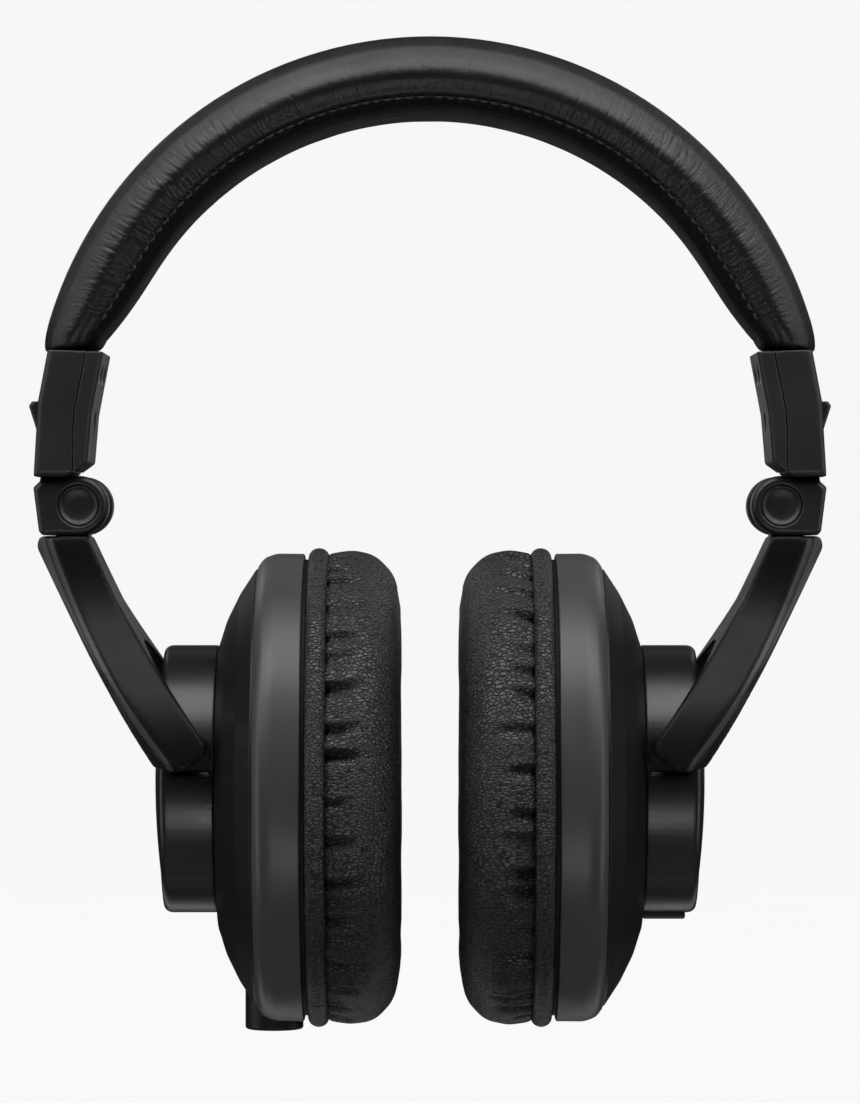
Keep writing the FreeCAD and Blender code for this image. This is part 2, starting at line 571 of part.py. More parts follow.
faults = [o.Label for o in doc.Objects if "Invalid" in o.State or "Error" in o.State]
nodes = [*SINGLE, *(f"{part}_{side}" for part in SIDED for side in ("left", "right"))]
for node in nodes:
    shape = labelled(node).Shape
    if shape.isNull() or not shape.isValid() or not shape.Solids:
        faults.append(node + " has no valid solid")
if faults:
    raise RuntimeError("; ".join(faults))
os.makedirs("parts", exist_ok=True)
for node in nodes:
    labelled(node).Shape.exportStep(f"parts/{node}.step")
    shape = labelled(node).Shape
    print(f"{node}: {len(shape.Solids)} solid(s), {shape.Volume:.1f} mm3")
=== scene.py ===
"""Looks of the over-ear headphones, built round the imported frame. Row frame, metres."""
import bmesh
import bpy
import math
import random
import numpy as np
from mathutils import Matrix, Vector, noise
from mathutils.bvhtree import BVHTree


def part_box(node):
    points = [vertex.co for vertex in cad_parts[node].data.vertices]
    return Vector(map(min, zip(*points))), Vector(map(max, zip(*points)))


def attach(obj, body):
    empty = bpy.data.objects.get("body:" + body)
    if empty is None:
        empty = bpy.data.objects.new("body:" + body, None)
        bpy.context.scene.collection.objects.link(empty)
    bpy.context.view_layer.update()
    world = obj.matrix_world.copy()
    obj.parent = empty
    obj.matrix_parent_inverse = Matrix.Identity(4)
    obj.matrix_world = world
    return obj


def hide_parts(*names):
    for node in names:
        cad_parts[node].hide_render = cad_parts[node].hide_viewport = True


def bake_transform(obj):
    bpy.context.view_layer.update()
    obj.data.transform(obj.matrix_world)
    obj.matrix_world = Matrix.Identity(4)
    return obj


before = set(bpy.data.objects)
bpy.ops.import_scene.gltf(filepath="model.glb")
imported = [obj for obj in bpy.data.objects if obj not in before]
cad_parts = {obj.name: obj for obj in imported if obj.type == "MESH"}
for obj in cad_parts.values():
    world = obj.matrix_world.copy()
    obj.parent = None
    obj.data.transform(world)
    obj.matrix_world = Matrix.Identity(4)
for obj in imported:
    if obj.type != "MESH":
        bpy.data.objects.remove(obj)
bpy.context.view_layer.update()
MM = 0.001
SIDES = {"left": -1, "right": 1}
WORDS = {-1: "left", 1: "right"}

# Heights and radii shared by several pieces, in millimetres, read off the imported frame.
low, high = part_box("cup_ring_right")
CUP_Z = (low[2] + high[2]) / 2 / MM
RING_IN, RING_OUT, RING_RAD = low[0] / MM, high[0] / MM, (high[2] - low[2]) / 2 / MM
low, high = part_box("ear_pad_right")
PAD_FACE, PAD_BACK, PIPING_RAD = low[0] / MM, high[0] / MM, (high[2] - low[2]) / 2 / MM
PIN_X, PIN_Z = [(a + b) / 2 / MM for a, b in zip(*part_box("hinge_pin_right"))][::2]


# ---------------------------------------------------------------- mesh helpers
def new_object(name, mesh):
    piece = bpy.data.objects.new(name, mesh)
    bpy.context.scene.collection.objects.link(piece)
    return piece


def from_grid(name, rows, wrap_rows=False, wrap_columns=True):
    """A smooth mesh through a grid of points in millimetres."""
    count, across = len(rows), len(rows[0])
    verts = [Vector(p) * MM for row in rows for p in row]
    faces = []
    for i in range(count if wrap_rows else count - 1):
        for j in range(across if wrap_columns else across - 1):
            a, b = i * across, (i + 1) % count * across
            k = (j + 1) % across
            faces.append((a + j, a + k, b + k, b + j))
    mesh = bpy.data.meshes.new(name)
    mesh.from_pydata(verts, [], faces)
    mesh.validate()
    piece = new_object(name, mesh)
    face_out(piece)
    mesh.shade_smooth()
    return piece


def face_out(piece):
    """Turns every face of a closed mesh outwards."""
    work = bmesh.new()
    work.from_mesh(piece.data)
    bmesh.ops.recalc_face_normals(work, faces=work.faces)
    work.to_mesh(piece.data)
    work.free()


def rounded(corners, steps):
    """A closed outline from (u, v, fillet) corners, each fillet an arc."""
    points = []
    for i, (u, v, fillet) in enumerate(corners):
        here = Vector((u, v))
        last, onward = corners[i - 1], corners[(i + 1) % len(corners)]
        before, after = Vector(last[:2]) - here, Vector(onward[:2]) - here
        turn = before.angle(after)
        if fillet <= 0 or turn > math.pi - 0.02:
            points.append(here)
            continue
        reach = min(fillet / math.tan(turn / 2), room(last[2]) * before.length,
                    room(onward[2]) * after.length)
        points += arc(here, before, after, reach, steps)
    return points


def rounded_open(corners, steps):
    """An open line from (u, v, fillet) corners, each fillet between its ends an arc."""
    points = [Vector(corners[0][:2])]
    for last, corner, onward in zip(corners, corners[1:], corners[2:]):
        here = Vector(corner[:2])
        before, after = Vector(last[:2]) - here, Vector(onward[:2]) - here
        turn = before.angle(after)
        if turn > math.pi - 0.03:
            points.append(here)
            continue
        reach = min(corner[2] / math.tan(turn / 2), 0.49 * before.length, 0.49 * after.length)
        points += arc(here, before, after, reach, steps)
    points.append(Vector(corners[-1][:2]))
    return points


def room(fillet):
    """The share of an edge that a fillet may take, given the fillet at the edge's other end."""
    return 0.48 if fillet > 0.5 else 0.9


def arc(corner, before, after, reach, steps):
    """The arc that rounds a corner off from one edge to the next, starting at reach from it."""
    turn = before.angle(after)
    radius = reach * math.tan(turn / 2)
    middle = corner + (before.normalized() + after.normalized()).normalized() * (
        radius / math.sin(turn / 2))
    start = corner + before.normalized() * reach - middle
    end = corner + after.normalized() * reach - middle
    sweep = math.atan2(start.cross(end), start.dot(end))
    return [middle + Matrix.Rotation(sweep * k / steps, 2) @ start for k in range(steps + 1)]


def resample(points, count):
    """Evenly spaced points along an open line."""
    lengths = [0.0]
    for a, b in zip(points, points[1:]):
        lengths.append(lengths[-1] + (b - a).length)
    spots = np.linspace(0, lengths[-1], count)
    xs = np.interp(spots, lengths, [p.x for p in points])
    ys = np.interp(spots, lengths, [p.y for p in points])
    return [Vector((x, y)) for x, y in zip(xs, ys)]


TURNED_SIDES = 240


def lathe(name, corners, centre_z, side, steps=5):
    """A ring or disc turned about an X axis; corners are (x, radius, fillet) in millimetres."""
    outline = rounded(corners, steps)
    rows = []
    for i in range(TURNED_SIDES):
        turn = 2 * math.pi * i / TURNED_SIDES
        rows.append([(side * p.x, p.y * math.sin(turn), centre_z + p.y * math.cos(turn))
                     for p in outline])
    piece = from_grid(name, rows, wrap_rows=True)
    weld(piece)
    weigh_normals(piece)
    return piece


def weld(piece, reach=1e-6):
    """Joins the points of a turned mesh that meet on its axis or seam."""
    work = bmesh.new()
    work.from_mesh(piece.data)
    bmesh.ops.remove_doubles(work, verts=work.verts, dist=reach)
    bmesh.ops.dissolve_degenerate(work, edges=work.edges, dist=reach)
    bmesh.ops.recalc_face_normals(work, faces=work.faces)
    work.to_mesh(piece.data)
    work.free()
    piece.data.shade_smooth()


def weigh_normals(piece):
    even = piece.modifiers.new("even_normals", "WEIGHTED_NORMAL")
    even.keep_sharp = True
    even.weight = 80


def settle(piece):
    """Apply every modifier of a piece to its mesh."""
    view = bpy.context.evaluated_depsgraph_get()
    mesh = bpy.data.meshes.new_from_object(piece.evaluated_get(view))
    piece.modifiers.clear()
    piece.data = mesh
    return piece


def moulded(name, node, voxel, passes):
    """A copy of a CAD node with every edge softened as on a moulded or cast piece."""
    piece = new_object(name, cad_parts[node].data.copy())
    piece.data.materials.clear()
    remesh = piece.modifiers.new("remesh", "REMESH")
    remesh.mode = "VOXEL"
    remesh.voxel_size = voxel * MM
    remesh.adaptivity = 0
    smooth = piece.modifiers.new("smooth", "SMOOTH")
    smooth.factor = 0.5
    smooth.iterations = passes
    settle(piece)
    piece.data.shade_smooth()
    return piece


# ---------------------------------------------------------------- materials
def nodes_for(name):
    material = bpy.data.materials.new(name)
    material.use_nodes = True
    tree = material.node_tree
    shader = tree.nodes["Principled BSDF"]
    return material, tree, shader


def add(tree, kind, **settings):
    """A shader node; each setting is one of its sockets or one of its properties."""
    node = tree.nodes.new("ShaderNode" + kind)
    for key, value in settings.items():
        if key in node.inputs.keys():
            node.inputs[key].default_value = value
        elif key.replace("_", " ").title() in node.inputs.keys():
            node.inputs[key.replace("_", " ").title()].default_value = value
        else:
            setattr(node, key, value)
    return node


def local(tree, stretch=(1, 1, 1)):
    """The piece's own coordinates in millimetres, stretched."""
    place = add(tree, "TexCoord")
    scale = add(tree, "Mapping")
    scale.inputs["Scale"].default_value = [s / MM for s in stretch]
    tree.links.new(place.outputs["Object"], scale.inputs["Vector"])
    return scale.outputs["Vector"]


def bumped(tree, height, strength, distance, normal=None):
    bump = add(tree, "Bump")
    bump.inputs["Strength"].default_value = strength
    bump.inputs["Distance"].default_value = distance * MM
    tree.links.new(height, bump.inputs["Height"])
    if normal:
        tree.links.new(normal, bump.inputs["Normal"])
    return bump.outputs["Normal"]


def spread(tree, value, low_out, high_out, low_in=0.0, high_in=1.0):
    ramp = add(tree, "MapRange")
    ramp.inputs["From Min"].default_value = low_in
    ramp.inputs["From Max"].default_value = high_in
    ramp.inputs["To Min"].default_value = low_out
    ramp.inputs["To Max"].default_value = high_out
    tree.links.new(value, ramp.inputs["Value"])
    return ramp.outputs["Result"]


def between(tree, amount, dark, light):
    mix = add(tree, "Mix", data_type="RGBA")
    mix.inputs[6].default_value = (*dark, 1)
    mix.inputs[7].default_value = (*light, 1)
    tree.links.new(amount, mix.inputs[0])
    return mix.outputs[2]


def noisy(tree, vector, scale, detail=3, roughness=0.5):
    texture = add(tree, "TexNoise")
    texture.inputs["Scale"].default_value = scale
    texture.inputs["Detail"].default_value = detail
    texture.inputs["Roughness"].default_value = roughness
    tree.links.new(vector, texture.inputs["Vector"])
    return texture.outputs["Fac"]


def leather(name, dark, light, rough, cell, stretch, depth, gloss, valley=0.4):
    """Pebbled leather: rounded cells with creased edges, painted shade in the cracks, fine pores
    and uneven gloss.
    """
    material, tree, shader = nodes_for(name)
    plain = local(tree, stretch)
    warp = add(tree, "TexNoise")
    warp.inputs["Scale"].default_value = 0.9
    tree.links.new(plain, warp.inputs["Vector"])
    push = add(tree, "VectorMath", operation="MULTIPLY_ADD")
    push.inputs[1].default_value = (0.35, 0.35, 0.35)
    tree.links.new(warp.outputs["Color"], push.inputs[0])
    tree.links.new(plain, push.inputs[2])
    cells = add(tree, "TexVoronoi", feature="DISTANCE_TO_EDGE")
    cells.inputs["Scale"].default_value = 1 / cell
    tree.links.new(push.outputs[0], cells.inputs["Vector"])
    pebble = spread(tree, cells.outputs["Distance"], 0, 1, 0.0, 0.20)
    pores = noisy(tree, plain, 5.0, 4, 0.6)
    broad = noisy(tree, plain, 0.12, 3, 0.5)
    normal = bumped(tree, pores, 0.25, 0.02)
    normal = bumped(tree, pebble, 1.0, depth, normal)
    tree.links.new(normal, shader.inputs["Normal"])
    # Base colour darker in the cracks between cells: painted shade.
    tree.links.new(between(tree, pebble, dark, light), shader.inputs["Base Color"])
    tree.links.new(spread(tree, broad, *rough, 0.3, 0.7), shader.inputs["Roughness"])
    tree.links.new(spread(tree, pebble, gloss * valley, gloss),
                   shader.inputs["Specular IOR Level"])
    return material


EDGE_RADIUS, EDGE_HIGHLIGHT = 0.25, 0.35      # softening of an edge in mm, and how far a painted highlight lightens it


def plastic(name, colour, rough, grain=0.0, grain_size=0.35, gloss=0.45):
    """Moulded plastic with fine mould texture, softened edges and a painted highlight on them."""
    material, tree, shader = nodes_for(name)
    plain = local(tree)
    soft = add(tree, "Bevel", samples=6)
    soft.inputs["Radius"].default_value = EDGE_RADIUS * MM
    normal = soft.outputs["Normal"]
    fine = noisy(tree, plain, 1 / grain_size, 3, 0.6)
    broad = noisy(tree, plain, 0.08, 3, 0.5)
    if grain:
        normal = bumped(tree, fine, grain, 0.035, normal)
    tree.links.new(normal, shader.inputs["Normal"])
    # Sharp edges get a lighter base colour: a painted edge highlight.
    pointed = add(tree, "NewGeometry")
    edges = spread(tree, pointed.outputs["Pointiness"], 0, EDGE_HIGHLIGHT, 0.5, 0.62)
    light = [min(1, c * 2.2 + 0.01) for c in colour]
    tree.links.new(between(tree, edges, colour, light), shader.inputs["Base Color"])
    uneven = add(tree, "Math", operation="ADD")
    tree.links.new(spread(tree, broad, rough - 0.05, rough + 0.05, 0.3, 0.7), uneven.inputs[0])
    tree.links.new(spread(tree, fine, -0.04, 0.04, 0.3, 0.7), uneven.inputs[1])
    tree.links.new(uneven.outputs[0], shader.inputs["Roughness"])
    shader.inputs["Specular IOR Level"].default_value = gloss
    return material


STRIP_LIP, STRIP_SLOPE = 0.30, 0.72      # step beside the yoke's face, and fall per millimetre
BEVEL, STRIP_SPAN = 1.6, 4.0             # widths beyond the face, in mm: its bevel, the whole strip


def painted_strip_highlight(material, colour, strip, gloss):
    """Paints a highlight on a plastic: lighter and glossier by how far the mesh says it is beyond a
    raised face, with a painted line of shade at the bevel's edge.
    """
    tree = material.node_tree
    shader = next(node for node in tree.nodes if node.type == "BSDF_PRINCIPLED")
    mark = add(tree, "Attribute", attribute_name="strip")
    ramp = add(tree, "ValToRGB")
    # Painted highlight on the bevel and on the outer strip, with a painted line of shade between
    # them where a groove would be.
    stops = ((0.15, 0), (0.5, 1), (BEVEL - 0.3, 0.75), (BEVEL, 0.1), (BEVEL + 0.3, 0.9), (2.4, 1))
    for beyond, level in stops[2:]:
        ramp.color_ramp.elements.new(beyond / STRIP_SPAN)
    for stop, (beyond, level) in zip(ramp.color_ramp.elements, stops):
        stop.position, stop.color = beyond / STRIP_SPAN, (level, level, level, 1)
    tree.links.new(spread(tree, mark.outputs["Fac"], 0, 1, 0, STRIP_SPAN), ramp.inputs["Fac"])
    tree.links.new(between(tree, ramp.outputs["Color"], colour, strip),
                   shader.inputs["Base Color"])
    tree.links.new(spread(tree, ramp.outputs["Color"], *gloss),
                   shader.inputs["Specular IOR Level"])
    return material


def metal(name, colour, rough, stretch=(1, 1, 1)):
    """Bare metal with drawn or turned streaks."""
    material, tree, shader = nodes_for(name)
    streaks = noisy(tree, local(tree, stretch), 2.0, 5, 0.7)
    shader.inputs["Metallic"].default_value = 1
    tree.links.new(bumped(tree, streaks, 0.12, 0.02), shader.inputs["Normal"])
    tree.links.new(spread(tree, streaks, rough - 0.08, rough + 0.12, 0.25, 0.75),
                   shader.inputs["Roughness"])
    dull = [c * 0.75 for c in colour]
    tree.links.new(between(tree, streaks, dull, colour), shader.inputs["Base Color"])
    return material


def woven(name, dark, light, pitch=0.55):
    """Plain-woven cloth: crossing threads with gaps between them."""
    material, tree, shader = nodes_for(name)
    plain = local(tree)
    heights = []
    for axis in ("Y", "Z"):
        wave = add(tree, "TexWave", wave_type="BANDS", bands_direction=axis)
        wave.inputs["Scale"].default_value = 0.31 / pitch
        wave.inputs["Distortion"].default_value = 0.6
        wave.inputs["Detail Scale"].default_value = 2
        tree.links.new(plain, wave.inputs["Vector"])
        heights.append(wave.outputs["Fac"])
    cross = add(tree, "Math", operation="MAXIMUM")
    tree.links.new(heights[0], cross.inputs[0])
    tree.links.new(heights[1], cross.inputs[1])
    fuzz = noisy(tree, plain, 6, 3, 0.6)
    normal = bumped(tree, cross.outputs[0], 0.8, 0.12)
    tree.links.new(bumped(tree, fuzz, 0.3, 0.04, normal), shader.inputs["Normal"])
    tree.links.new(between(tree, cross.outputs[0], dark, light), shader.inputs["Base Color"])
    shader.inputs["Roughness"].default_value = 0.9
    shader.inputs["Sheen Weight"].default_value = 0.25
    return material


LOOKS = {
    "leather": leather("band_leather", (0.003, 0.003, 0.0032), (0.005, 0.005, 0.0053),
                       rough=(0.34, 0.43), cell=0.5, stretch=(1, 1, 1), depth=0.018, gloss=0.42,
                       valley=0.8),
    # A darker, duller leather for the band's underside below the seam: painted shade.
    "underside_shade": leather("band_underside_shade", (0.002, 0.002, 0.0022), (0.004, 0.004, 0.0042),
                      rough=(0.5, 0.6), cell=0.5, stretch=(1, 1, 1), depth=0.03, gloss=0.16),
    "pad_leather": leather("pad_leather", (0.004, 0.004, 0.0042), (0.016, 0.016, 0.0165),
                           rough=(0.42, 0.52), cell=0.68, stretch=(0.60, 1, 1), depth=0.12,
                           gloss=0.55),
    "sleeve_plastic": plastic("sleeve_plastic", (0.012, 0.012, 0.012), 0.46, 0.5, 0.28),
    "satin_plastic": plastic("satin_plastic", (0.008, 0.008, 0.0085), 0.42, 0.15, 0.3),
    # The fork's strip colour is a painted highlight on the strip beside its raised face.
    "fork_plastic": painted_strip_highlight(plastic("fork_plastic", (0.004, 0.004, 0.0043), 0.45, 0.20, 0.3),
                            (0.004, 0.004, 0.0043), (0.034, 0.034, 0.035), (0.13, 0.5)),
    "shell_plastic": plastic("shell_plastic", (0.003, 0.003, 0.0032), 0.46, 1.0, 0.24, gloss=0.26),
    "drum_plastic": plastic("drum_plastic", (0.005, 0.005, 0.0053), 0.33, 0.10, 0.3, gloss=0.47),
    "ring_plastic": plastic("ring_plastic", (0.041, 0.041, 0.043), 0.40, 0.12, 0.25, gloss=0.38),
    "inner_plastic": plastic("inner_plastic", (0.003, 0.003, 0.003), 0.65, 0.2, gloss=0.2),
    "spring_steel": metal("spring_steel", (0.52, 0.52, 0.53), 0.32, (1, 1, 0.05)),
    "pin_steel": metal("pin_steel", (0.55, 0.55, 0.56), 0.28),
    "dark_metal": metal("dark_metal", (0.03, 0.03, 0.031), 0.38),
    "diaphragm": plastic("diaphragm", (0.35, 0.34, 0.30), 0.25),
    "contact_metal": metal("contact_metal", (0.62, 0.58, 0.5), 0.25),
    "cloth": woven("dust_weave", (0.004, 0.004, 0.004), (0.02, 0.02, 0.02)),
    "thread": woven("thread", (0.003, 0.003, 0.003), (0.012, 0.012, 0.012), 0.3),
}


def dress(piece, look):
    piece.data.materials.clear()
    piece.data.materials.append(LOOKS[look])


def stand_in(piece, body, look, slot, *nodes):
    """A Blender piece that rides on a body in place of CAD nodes."""
    dress(piece, look)
    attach(piece, body)
    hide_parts(*nodes)
    return piece


# ---------------------------------------------------------------- headband
BAND_CENTRE = -64.2      # height of the centre of the band's outer curve
BAND_END = 77.3          # degrees from the crown to the end of the padding
BAND_COLUMNS = 132
BAND_STEP = 0.16         # row spacing along the padding, in degrees
CROWN_HALF, CROWN_THICK = 17.0, 14.85    # half width and thickness of the section at the crown
SEAM_PLACE = 0.865       # share of the thickness from the top down to the seam
STITCH_PITCH = 2.2
STITCH_SHARE = 0.62      # share of the pitch that shows as thread
STITCH_END = 72          # degrees from the crown to the last stitch


def band_section():
    """Outer radius, inner radius and half width of the CAD padding by angle from the crown."""
    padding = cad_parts["headband_pad"].data
    tree = BVHTree.FromPolygons([v.co for v in padding.vertices],
                                [tuple(p.vertices) for p in padding.polygons])
    centre = Vector((0, 0, BAND_CENTRE * MM))
    angles, table = np.arange(0.0, 76.0, 1.0), []
    for angle in np.radians(angles):
        out = Vector((math.sin(angle), 0, math.cos(angle)))
        outer = (tree.ray_cast(centre + out * 0.15, -out)[0] - centre).length / MM
        inner = (tree.ray_cast(centre + out * 0.02, out)[0] - centre).length / MM
        middle = centre + out * (outer + inner) / 2 * MM
        half = -tree.ray_cast(middle - Vector((0, 0.05, 0)), Vector((0, 1, 0)))[0].y / MM
        table.append((outer, inner, half))
    table = np.array(table)
    for _ in range(40):
        table[1:-1, 1] = (table[:-2, 1] + 2 * table[1:-1, 1] + table[2:, 1]) / 4
    return angles, table


def ridges(value, width):
    """1 on the zero line of a noise value and 0 beyond width: a field of fine creases."""
    return max(0.0, 1 - abs(value) / width) ** 2


def band_template():
    """The padding's section at the crown, from the middle of the top round the front, in
    millimetres: (y, height above the CAD underside), with the way out at each point."""
    front = [(0, 14.85), (-7.5, 14.8), (-10.6, 14.5), (-13.4, 12.3), (-15.5, 9.8), (-16.7, 7.8),
             (-17.0, 6.6), (-16.75, 5.3), (-16.2, 4.4), (-16.25, 3.6), (-15.9, 2.6), (-15.2, 1.7),
             (-14.0, 0.5), (-12.0, -0.45), (-7.0, -0.85), (0, -0.9)]
    corners = front + [(-y, h) for y, h in front[-2:0:-1]]
    points = resample([Vector(c) for c in corners + corners[:1]], 12 * BAND_COLUMNS)[:-1]
    line = np.array([tuple(p) for p in points])
    for _ in range(60):
        line = (np.roll(line, 1, 0) + 2 * line + np.roll(line, -1, 0)) / 4
    line = line[::12]
    along = np.roll(line, -1, 0) - np.roll(line, 1, 0)
    out = np.stack([along[:, 1], -along[:, 0]], 1)
    out /= np.linalg.norm(out, axis=1)[:, None]
    if (out[:, 0] * line[:, 0]).sum() < 0:
        out = -out
    return line, out


def band_relief(along, depth, front):
    """How far the leather stands in or out, in millimetres: the stitched seam, the roll above it,
    soft swellings, and creases that run across the sides and fade towards the top."""
    seam = -0.50 * math.exp(-((depth - SEAM_PLACE) * 16 / 0.42) ** 2)
    roll = 0.12 * math.exp(-((depth - 0.66) * 16 / 0.8) ** 2)
    side = 11.3 if front else 47.9
    lean = along + 0.9 * noise.noise(Vector((along * 0.12, depth * 2, side)))
    lean -= 1.8 * (depth - 0.5)
    fine = ridges(noise.noise(Vector((lean * 1.5, depth * 2.6, side))), 0.26)
    fine = max(fine, 0.8 * ridges(noise.noise(Vector((lean * 1.9, depth * 3.4, side + 21))), 0.26))
    wide = ridges(noise.noise(Vector((lean * 0.6, depth * 1.2, side + 5))), 0.12)
    reach = 0.12 + 0.14 * noise.noise(Vector((along * 0.5, 3.7, side)))
    hold = min(1, max(0, (depth - reach) / 0.28)) * min(1, max(0, (0.97 - depth) / 0.1))
    place = abs(along)
    strength = 0.55 + 0.65 * math.exp(-((place - 62) / 26) ** 2)
    strength *= min(1, max(0.25, (100 - place) / 14))
    swell = 0.08 * noise.noise(Vector((along * 0.16, depth * 1.5, side + 9)))
    return seam + roll + swell - strength * hold * (0.15 * fine + 0.15 * wide)


def band_half(side):
    """The padding from the crown to one end: a soft tube of leather with seams and creases."""
    angles, table = band_section()
    line, out = band_template()
    steps = int(round(BAND_END / BAND_STEP))
    rows, seam = [], []
    for i in range(steps + 1):
        angle = BAND_END * i / steps
        outer, inner, half = (np.interp(angle, angles, table[:, k]) for k in range(3))
        end = max(0.0, (angle - 72.6) / (BAND_END - 72.6))
        pinch = math.sqrt(max(0.0, 1 - end ** 2.6))
        level = min(1, max(0, (angle - 64) / (BAND_END - 64))) ** 1.5
        thick, middle = outer - inner, (outer + inner) / 2
        along = side * math.radians(angle) * 71.5
        radians = math.radians(angle)
        row = []
        for (y, h), (out_y, out_h) in zip(line, out):
            depth = 1 - h / CROWN_THICK
            relief = band_relief(along, depth, y < 0) if 0.06 < depth < 1.04 and abs(y) > 8 else 0
            wide = (y + relief * out_y) * half / CROWN_HALF
            radius = inner + (h + relief * out_h) * thick / CROWN_THICK
            radius = min(outer, middle + (radius - middle) * (0.80 + 0.20 * pinch))
            share = min(1, max(0, (radius - inner) / thick))
            turn = radians + math.radians(level * (2.6 * share - 1.8))
            row.append((side * radius * math.sin(turn), wide * (0.84 + 0.16 * pinch),
                        BAND_CENTRE + radius * math.cos(turn)))
        rows.append(row)
        seam.append((angle, outer, inner, half))
    piece = from_grid("headband_leather_" + WORDS[side], rows)
    close_end(piece, rows[-1])
    return piece, seam


def close_end(piece, row):
    """Rounds the far end of the padding over to a middle point."""
    work = bmesh.new()
    work.from_mesh(piece.data)
    work.verts.ensure_lookup_table()
    ring = [work.verts[len(work.verts) - len(row) + j] for j in range(len(row))]
    middle = sum((v.co for v in ring), Vector()) / len(ring)
    for scale, drop in ((0.93, 0.15), (0.8, 0.27), (0.5, 0.33), (0.2, 0.348)):
        new = [work.verts.new(middle + (v.co - middle) * scale) for v in ring]
        for vert in new:
            vert.co.z -= drop * MM
        for j in range(len(ring)):
            k = (j + 1) % len(ring)
            work.faces.new((ring[j], ring[k], new[k], new[j]))
        ring = new
    work.faces.new(ring)
    bmesh.ops.recalc_face_normals(work, faces=work.faces)
    work.to_mesh(piece.data)
    work.free()
    piece.data.shade_smooth()


def capsule(points, radius):
    """A thread lying through a few points, as rings of a tube with rounded ends."""
    sides = 8
    verts, faces = [], []
    count = len(points)
    for i, point in enumerate(points):
        before, after = points[max(i - 1, 0)], points[min(i + 1, count - 1)]
        onward = (Vector(after) - Vector(before)).normalized()
        across = onward.orthogonal().normalized()
        up = onward.cross(across)
        here = radius * math.sin(math.pi * (i + 0.35) / (count - 0.3)) ** 0.5
        for j in range(sides):
            turn = 2 * math.pi * j / sides
            verts.append(Vector(point) + here * (across * math.cos(turn) + up * math.sin(turn)))
    for i in range(count - 1):
        for j in range(sides):
            k = (j + 1) % sides
            faces.append((i * sides + j, i * sides + k, (i + 1) * sides + k, (i + 1) * sides + j))
    faces.append(tuple(range(sides))[::-1])
    faces.append(tuple((count - 1) * sides + j for j in range(sides)))
    return verts, faces


def many(name, parts):
    """One mesh from several (vertices in millimetres, faces) parts."""
    verts, faces = [], []
    for part_verts, part_faces in parts:
        start = len(verts)
        verts += [Vector(v) * MM for v in part_verts]
        faces += [tuple(start + i for i in face) for face in part_faces]
    mesh = bpy.data.meshes.new(name)
    mesh.from_pydata(verts, [], faces)
    mesh.validate()
    mesh.shade_smooth()
    piece = new_object(name, mesh)
    face_out(piece)
    return piece


def stitches(side, seam):
    """Lock stitches along both underside seams of half the padding."""
    table = np.array(seam)
    parts = []
    pitch = math.degrees(STITCH_PITCH / 66)
    for way in (-1, 1):
        start = pitch / 2
        while start + STITCH_SHARE * pitch < STITCH_END:
            points = []
            for k in range(5):
                angle = start + STITCH_SHARE * pitch * k / 4
                outer, inner, half = (np.interp(angle, table[:, 0], table[:, c]) for c in (1, 2, 3))
                radius = inner + (outer - inner) * 0.138 - 0.12 * math.cos(math.pi * (k - 2) / 4)
                points.append((side * radius * math.sin(math.radians(angle)),
                               way * (half * 0.921 - 0.05),
                               BAND_CENTRE + radius * math.cos(math.radians(angle))))
            parts.append(capsule(points, 0.21))
            start += pitch
    return many("headband_stitches_" + WORDS[side], parts)


def headband():
    """The two halves of the padding and of its steel band, each from the crown to one end."""
    for word, side in SIDES.items():
        leather_half, seam = band_half(side)
        thread = stitches(side, seam)
        for piece, look in ((leather_half, "leather"), (thread, "thread")):
            dress(piece, look)
            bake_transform(piece)
        shade_underside(leather_half)
        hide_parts("headband_pad")
        strip = spring_half(side)
        dress(strip, "spring_steel")
        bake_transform(strip)
        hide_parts("spring_band")


def shade_underside(piece):
    """The panel below the seam gets a darker, duller leather: painted shade on the underside."""
    piece.data.materials.append(LOOKS["underside_shade"])
    below = [height < 1.9 for _, height in band_template()[0]]
    whole = len(piece.data.vertices) // BAND_COLUMNS * BAND_COLUMNS
    for face in piece.data.polygons:
        if all(v < whole and below[v % BAND_COLUMNS] for v in face.vertices):
            face.material_index = 1


def spring_half(side):
    """The steel band inside the padding, from the crown down into the sleeve."""
    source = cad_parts["spring_band"].data.copy()
    piece = new_object("spring_band_" + WORDS[side], source)
    work = bmesh.new()
    work.from_mesh(source)
    everything = work.verts[:] + work.edges[:] + work.faces[:]
    cut = bmesh.ops.bisect_plane(work, geom=everything, plane_co=(0, 0, 0),
                                 plane_no=(-side, 0, 0), clear_outer=True)
    rim = [e for e in cut["geom_cut"] if isinstance(e, bmesh.types.BMEdge)]
    bmesh.ops.holes_fill(work, edges=rim)
    work.to_mesh(source)
    work.free()
    return piece


# ---------------------------------------------------------------- ear cushions
PLEAT_SEED = 41
RING_STEPS = 720         # rows round a cushion and its piping
SEAM_X = 20.6            # where the cushion's leather is gathered into the piping
RIM_FROM, OPENING_TO = 40, 30            # radii that bound the rim and the opening


def pleats(seed):
    """Gathers round the rim of a cushion: (angle, depth, width, reach) each."""
    draw = random.Random(seed)
    found, angle = [], 0.0
    while angle < 360:
        found.append((angle, draw.uniform(0.7, 1.9), draw.uniform(1.0, 1.7),
                      draw.uniform(5.5, 10.5)))
        angle += draw.uniform(4.6, 11.5)
    return found


